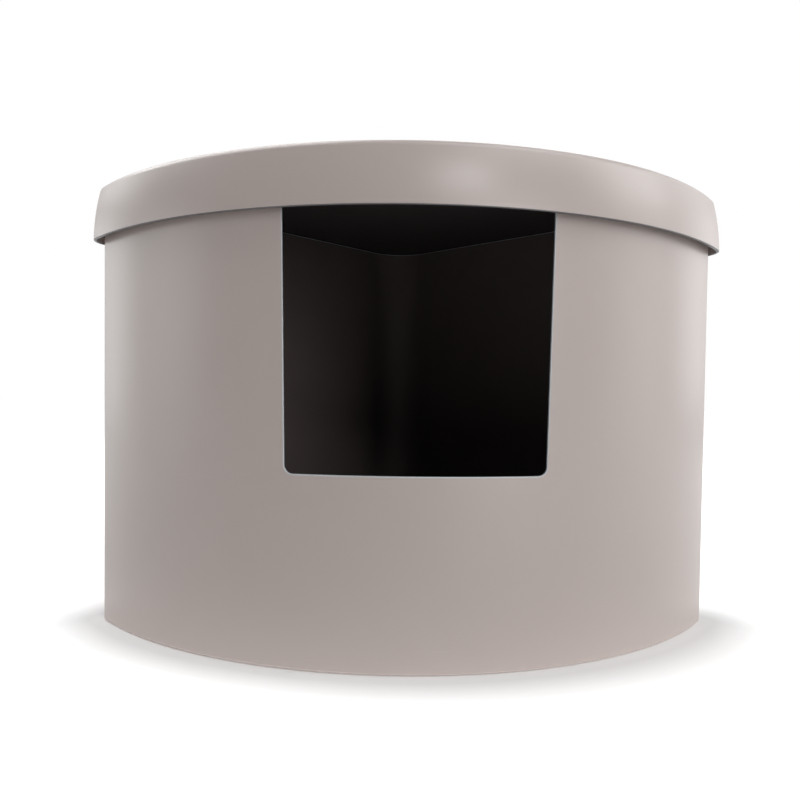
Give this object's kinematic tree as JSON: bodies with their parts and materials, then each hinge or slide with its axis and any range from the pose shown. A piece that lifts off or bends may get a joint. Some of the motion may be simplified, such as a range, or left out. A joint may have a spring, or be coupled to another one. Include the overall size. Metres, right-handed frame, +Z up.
{
  "type": "covered corner litter box",
  "caption": "Quarter-round covered litter box with a tall tub, an entrance high in its curved front, a lift-off lid with a flared skirt, and a lift-out litter pan.",
  "frame": {"origin": "on the ground under the middle of the plan", "axes": "+Z up; -Y towards the curved front with the entrance; +X to the right of someone who faces the front; the rear corner points along +Y"},
  "size_m": [0.5544, 0.411, 0.379],
  "materials": {
    "shell": "satin, warm grey outside and black inside",
    "black_plastic": "satin black",
    "rubber": "matt dark grey"
  },
  "bodies": {
    "tub_body": {"tub": "shell", "foot_front_left": "rubber", "foot_front_right": "rubber", "foot_side_left": "rubber", "foot_side_right": "rubber", "foot_rear": "rubber", "foot_middle": "rubber"},
    "lid_body": {"lid": "shell"},
    "pan_body": {"litter_pan": "black_plastic"}
  },
  "joints": [
    {"name": "lid_lift", "type": "slide", "parent": "tub_body", "child": "lid_body", "axis": [0, 0, 1], "range_m": [0, 0.5]},
    {"name": "pan_lift", "type": "slide", "parent": "tub_body", "child": "pan_body", "axis": [0, 0, 1], "range_m": [0, 0.4]}
  ],
  "couplings": [
    {"joint": "pan_lift", "follows": "lid_lift", "ratio": 0.8}
  ]
}
